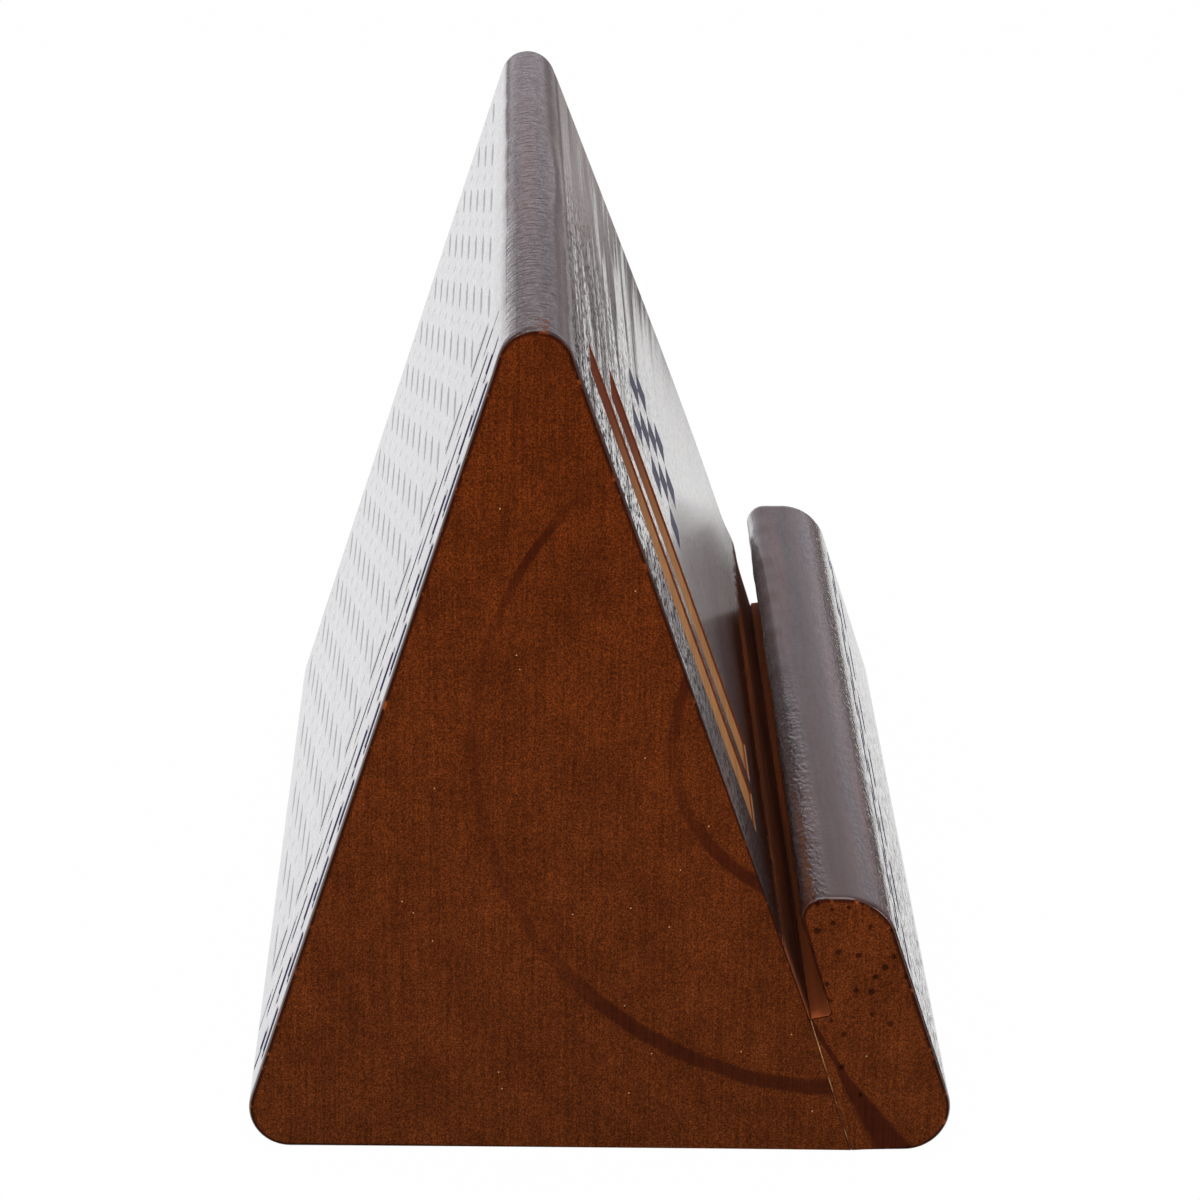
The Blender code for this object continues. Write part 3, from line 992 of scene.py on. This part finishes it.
def lay_floor(stage):
    """White sweep: the camera sees it nearly evenly white, and it keeps a faint shadow. Mirror rays see a
    painted pool of light on it, with a painted shade of the holder.
    """
    material, node, place = blank_material("white_paper_sweep")
    x, y = node("SeparateXYZ", place).outputs[:2]
    path = node("LightPath").outputs
    camera = path["Is Camera Ray"]
    seen = camera
    for ray in ("Is Glossy Ray", "Is Transmission Ray"):
        seen = node("Math MAXIMUM", seen, path[ray])
    share = node("Math MULTIPLY", seen, 0.985)
    # The lit sheet of paper ends on the right and far behind the holder, and mirrors see it end.
    dim = node("MapRange", y, 0.29, 0.36, 0.08, 0.42)
    out = node("MapRange", x, 0.08, 0.12, 1.0, 0.5)
    dim = node("Math MULTIPLY", dim, out)
    lean = node("Math MULTIPLY_ADD", y, 0.18, x)
    bright = node("MapRange", lean, 0.0862, 0.0912, 1.0, dim)
    far = node("MapRange", y, 1.0, 1.15, 1.0, 0.2)
    # Mirrors also see the holder's own shade, which lies on the paper from 85 to 150 mm behind its middle.
    shade_level = 0.54
    aside = node("Math ABSOLUTE", x)
    shade = node("MapRange", aside, 0.0315, 0.033, shade_level, 1.0)
    behind = node("MapRange", y, 0.128, 0.15, shade_level, 1.0)
    ahead = node("MapRange", y, 0.085, 0.092, 1.0, shade_level)
    for edge in (behind, ahead):
        shade = node("Math MAXIMUM", shade, edge)
    for limit in (far, shade):
        bright = node("Math MINIMUM", bright, limit)
    bright = node("Math MAXIMUM", bright, camera)
    # In mirrors the paper is cooler on the left and warmer where it is dim. The camera sees it white.
    warm = node("MapRange", bright, 0.0, 1.0, 0.84, 1.0)
    cool = node("MapRange", x, -0.03, -0.01, 0.98, 1.0)
    cool = node("Math MAXIMUM", cool, camera)
    green = node("Math MULTIPLY", cool, warm)
    tint = node("CombineColor", cool, green, warm)
    paper = node("BsdfDiffuse", (0.86, 0.86, 0.86, 1))
    glow = node("Emission", tint, bright)
    node("OutputMaterial", node("MixShader", share, paper, glow))
    half = stage.floor_size / 2
    mesh = bpy.data.meshes.new("floor")
    corners = [(-half, -half, 0), (half, -half, 0), (half, half, 0), (-half, half, 0)]
    mesh.from_pydata(corners, [], [range(4)])
    mesh.materials.append(material)
    floor = place_object("floor", mesh)


def make_surround(scene, stage):
    """Soft grey room: dark at the horizon and mauve grey above it, and plain white to the camera.

    The dark band is wider on the right, and the grey is brightest low down.
    """
    world = bpy.data.worlds.new("soft_grey_room")
    scene.world = world
    node = blank_nodes(world)
    way = node("SeparateXYZ", node("TexCoord").outputs["Generated"]).outputs
    wider = node("MapRange", way["X"], -0.1, 0.3, -0.02, 0.05)
    level = node("Math SUBTRACT", way["Z"], wider)
    heights = ((0.012, 0.4), (0.38, 0.76), (0.03, 1.4), (0.15, 1.1), (0.2, 0.96), (0.26, 0.9), (0.31, 0.86))
    ramp = node("ValToRGB", level, stops=[(up, stage.surround, bright) for up, bright in heights])
    room = node("Background", ramp)
    white = node("Background", (1, 1, 1, 1))
    both = node("MixShader", node("LightPath").outputs["Is Camera Ray"], room, white)
    node("OutputWorld", both)


def hang_lamps():
    """Two soft boxes in front and one above, turned towards the middle of the holder."""
    aim = Vector((0, 0, 0.035))
    for name, spot, side, watts in (
        ("left_softbox", (-0.55, -0.85, 0.75), 0.6, 5.0),
        ("right_softbox", (0.7, -0.75, 0.6), 0.6, 3.15),
        ("top_softbox", (0.0, 0.05, 1.1), 0.8, 3.8),
    ):
        lamp = bpy.data.lights.new(name, "AREA")
        lamp.shape = "SQUARE"
        lamp.size = side
        lamp.energy = watts
        holder = place_object(name, lamp)
        holder.location = spot
        holder.rotation_euler = (aim - Vector(spot)).to_track_quat("-Z", "Y").to_euler()


def place_camera(scene, stage):
    """Camera axes from pitch, yaw and roll, with a lens that gives the focal length in frame pixels."""
    flat = math.cos(stage.pitch)
    ahead = Vector((math.sin(stage.yaw) * flat, math.cos(stage.yaw) * flat, -math.sin(stage.pitch)))
    level = Vector((math.cos(stage.yaw), -math.sin(stage.yaw), 0))
    over = level.cross(ahead)
    right = math.cos(stage.roll) * level + math.sin(stage.roll) * over
    above = math.cos(stage.roll) * over - math.sin(stage.roll) * level
    lens = bpy.data.cameras.new("camera")
    lens.sensor_width = SENSOR_WIDTH
    lens.lens = SENSOR_WIDTH * stage.focal_pixels / FRAME_PIXELS
    lens.clip_start = 0.01
    camera = place_object("camera", lens)
    turn = Matrix((right, above, -ahead)).transposed().to_4x4()
    camera.matrix_world = Matrix.Translation(stage.camera_place) @ turn
    scene.camera = camera


class MENUHOLDER_OT_stage(bpy.types.Operator):
    """Sets up the floor, the surround, the lamps and the camera"""

    bl_idname = "menu_holder.stage"
    bl_label = "Stage"

    def execute(self, context):
        scene = context.scene
        stage = scene.holder_stage
        lay_floor(stage)
        make_surround(scene, stage)
        hang_lamps()
        place_camera(scene, stage)
        scene.view_settings.view_transform = "Standard"
        return {"FINISHED"}


class VIEW3D_PT_menu_holder(bpy.types.Panel):
    """Lists the steps that build the menu holder, and its sizes and colours"""

    bl_label = "Menu holder"
    bl_space_type = "VIEW_3D"
    bl_region_type = "UI"
    bl_category = "Menu holder"

    def draw(self, context):
        column = self.layout.column()
        for step in STEPS:
            column.operator(step.bl_idname)
        for name in GROUPS:
            group = getattr(context.scene, name)
            for label in group.__annotations__:
                column.prop(group, label)


STEPS = (
    MENUHOLDER_OT_stage,
    MENUHOLDER_OT_wedge_block,
    MENUHOLDER_OT_front_rail,
    MENUHOLDER_OT_glue_line,
)
GROUPS = {
    "holder_sizes": HolderSizes,
    "holder_pattern": HolderPattern,
    "holder_finish": HolderFinish,
    "holder_stage": HolderStage,
}
CLASSES = (*GROUPS.values(), *STEPS, VIEW3D_PT_menu_holder)


def register():
    for each in CLASSES:
        bpy.utils.register_class(each)
    for name, group in GROUPS.items():
        setattr(bpy.types.Scene, name, bpy.props.PointerProperty(type=group))


def unregister():
    for name in GROUPS:
        delattr(bpy.types.Scene, name)
    for each in reversed(CLASSES):
        bpy.utils.unregister_class(each)


def main():
    register()
    bpy.ops.menu_holder.stage()
    bpy.ops.menu_holder.wedge_block()
    bpy.ops.menu_holder.front_rail()
    bpy.ops.menu_holder.glue_line()
    bpy.context.view_layer.update()


if __name__ == "__main__":
    main()
